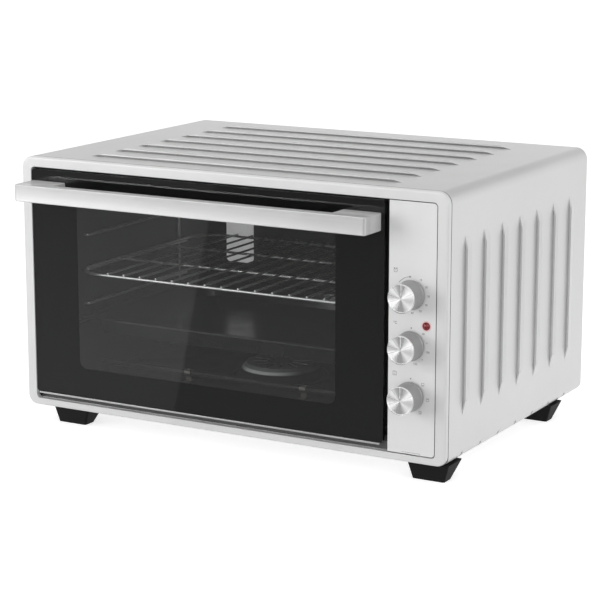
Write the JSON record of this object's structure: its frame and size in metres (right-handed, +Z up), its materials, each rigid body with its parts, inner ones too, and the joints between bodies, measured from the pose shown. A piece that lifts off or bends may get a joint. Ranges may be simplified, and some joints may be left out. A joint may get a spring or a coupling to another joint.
{
  "type": "mini oven",
  "caption": "Countertop oven with a bottom-hinged glass door, bar handle, three dials, louvred casing, wire rack and tray.",
  "frame": {"origin": "middle of the oven's box from the handle's front to the cord gland, on the surface that the feet stand on", "axes": "+X to the right seen from the front, +Y from the door towards the back, +Z up"},
  "size_m": [0.5676, 0.434, 0.3268],
  "materials": {
    "casing_silver": "satin silver-grey paint on sheet steel",
    "frame_silver": "smooth satin silver paint",
    "chassis_steel": "plain zinc-plated sheet",
    "panel_steel": "vertically brushed stainless steel",
    "sill_steel": "dark bare metal",
    "screw_steel": "plated",
    "gland_black": "moulded",
    "switch_plastic": "moulded, heat resistant",
    "foot_black": "moulded",
    "cavity_enamel": "glossy dark vitreous enamel",
    "dome_steel": "pressed sheet",
    "wire_chrome": "bright plated wire",
    "heater_steel": "heat-darkened sheath",
    "lamp_glass": "frosted",
    "pilot_red": "translucent",
    "door_glass": "clear toughened, lightly tinted",
    "border_black": "black enamel fired on the pane",
    "door_inner_steel": "dark grey satin",
    "trim_chrome": "bright",
    "handle_aluminium": "finely brushed along its length",
    "handle_block": "satin",
    "knob_grey": "satin metallic grey",
    "knob_cap": "turned face with a bright rim",
    "shaft_steel": "turned",
    "tray_enamel": "glossy black enamel"
  },
  "bodies": {
    "oven": {"casing_wrap": "casing_silver", "bottom_panel": "chassis_steel", "rear_panel": "chassis_steel", "rear_screws": "screw_steel", "cord_gland": "gland_black", "terminal_block": "switch_plastic", "front_frame": "frame_silver", "foot_front_left": "foot_black", "foot_front_right": "foot_black", "foot_rear_left": "foot_black", "foot_rear_right": "foot_black", "foot_screws": "screw_steel", "cavity_front": "cavity_enamel", "cavity_shell": "cavity_enamel", "cavity_floor": "cavity_enamel", "cavity_back": "cavity_enamel", "partition": "chassis_steel", "floor_dome": "dome_steel", "runner_left": "wire_chrome", "runner_right": "wire_chrome", "upper_heaters": "heater_steel", "lower_heaters": "heater_steel", "heater_clips": "chassis_steel", "thermostat_bulb": "shaft_steel", "lamp_cover": "lamp_glass", "lower_sill": "sill_steel", "hinge_bracket_left": "chassis_steel", "hinge_bracket_right": "chassis_steel", "control_panel": "panel_steel", "pilot_lens": "pilot_red", "pilot_holder": "switch_plastic", "timer_unit": "switch_plastic", "thermostat_unit": "switch_plastic", "function_switch": "switch_plastic"},
    "door": {"door_glass": "door_glass", "glass_border": "border_black", "door_frame": "door_inner_steel", "door_trim": "trim_chrome", "handle_bar": "handle_aluminium", "handle_mount_left": "handle_block", "handle_mount_right": "handle_block", "handle_screws": "screw_steel", "hinge_pins": "shaft_steel", "stay_arm_left": "chassis_steel", "stay_arm_right": "chassis_steel"},
    "timer_dial": {"timer_knob": "knob_grey", "timer_cap": "knob_cap", "timer_shaft": "shaft_steel"},
    "thermostat_dial": {"thermostat_knob": "knob_grey", "thermostat_cap": "knob_cap", "thermostat_shaft": "shaft_steel"},
    "function_dial": {"function_knob": "knob_grey", "function_cap": "knob_cap", "function_shaft": "shaft_steel"},
    "rack": {"wire_rack": "wire_chrome"},
    "tray": {"baking_tray": "tray_enamel"}
  },
  "joints": [
    {"name": "door_hinge", "type": "hinge", "parent": "oven", "child": "door", "pos_m": [0, -0.171, 0.0395], "axis": [1, 0, 0], "range_deg": [0, 86]},
    {"name": "timer_turn", "type": "hinge", "parent": "oven", "child": "timer_dial", "pos_m": [0.2365, -0.1785, 0.2084], "axis": [0, 1, 0], "range_deg": [0, 300]},
    {"name": "thermostat_turn", "type": "hinge", "parent": "oven", "child": "thermostat_dial", "pos_m": [0.2365, -0.1785, 0.1519], "axis": [0, 1, 0], "range_deg": [0, 285]},
    {"name": "function_turn", "type": "hinge", "parent": "oven", "child": "function_dial", "pos_m": [0.2365, -0.1785, 0.0954], "axis": [0, 1, 0], "range_deg": [0, 270]},
    {"name": "rack_slide", "type": "slide", "parent": "oven", "child": "rack", "axis": [0, -1, 0], "range_m": [0, 0.208]},
    {"name": "tray_slide", "type": "slide", "parent": "oven", "child": "tray", "axis": [0, -1, 0], "range_m": [0, 0.136]}
  ],
  "couplings": [
    {"joint": "rack_slide", "follows": "door_hinge", "m_per_rad": 0.138},
    {"joint": "tray_slide", "follows": "door_hinge", "m_per_rad": 0.09}
  ]
}
